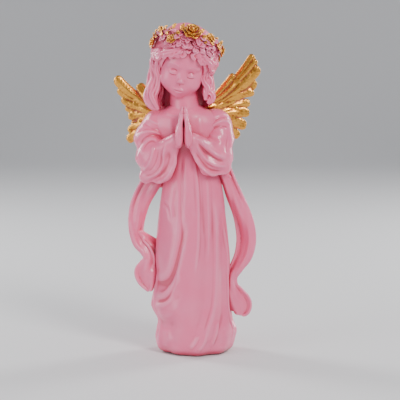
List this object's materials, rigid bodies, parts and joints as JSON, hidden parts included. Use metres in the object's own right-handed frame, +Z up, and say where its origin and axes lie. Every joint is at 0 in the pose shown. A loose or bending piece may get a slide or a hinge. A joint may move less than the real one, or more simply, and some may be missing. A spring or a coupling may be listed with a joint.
{
  "type": "angel figurine",
  "caption": "Standing praying angel in glossy cast resin, with a flower wreath, wide sleeves, a flowing shawl and gilded feather wings, on a felt base pad.",
  "frame": {"origin": "middle of the felt pad's underside, on the surface that the figure stands on", "axes": "+Z up through the figure, -Y the way the figure faces, +X the viewer's right"},
  "size_m": [0.0926, 0.0479, 0.2096],
  "materials": {
    "pink_resin": "glossy lacquered cast resin, with deeper pink in the creases",
    "gilding": "metallic gold paint dry-brushed over pink resin",
    "steel_pin": "plain drawn rod",
    "felt": "dense dyed felt"
  },
  "bodies": {
    "root": {"felt_pad": "felt", "base_plug": "pink_resin", "gown": "pink_resin", "neck_pin": "steel_pin", "head": "pink_resin", "hair_cap": "pink_resin", "hair_back": "pink_resin", "right_lock": "pink_resin", "left_lock": "pink_resin", "wreath_vine": "pink_resin", "wreath_rose": "gilding", "wreath_blossoms": "gilding", "wreath_leaves": "gilding", "right_sleeve": "pink_resin", "left_sleeve": "pink_resin", "right_hand": "pink_resin", "left_hand": "pink_resin", "shawl_back": "pink_resin", "right_shawl": "pink_resin", "left_shawl": "pink_resin", "right_wing": "gilding", "left_wing": "gilding", "right_wing_pin": "steel_pin", "left_wing_pin": "steel_pin"}
  },
  "joints": []
}
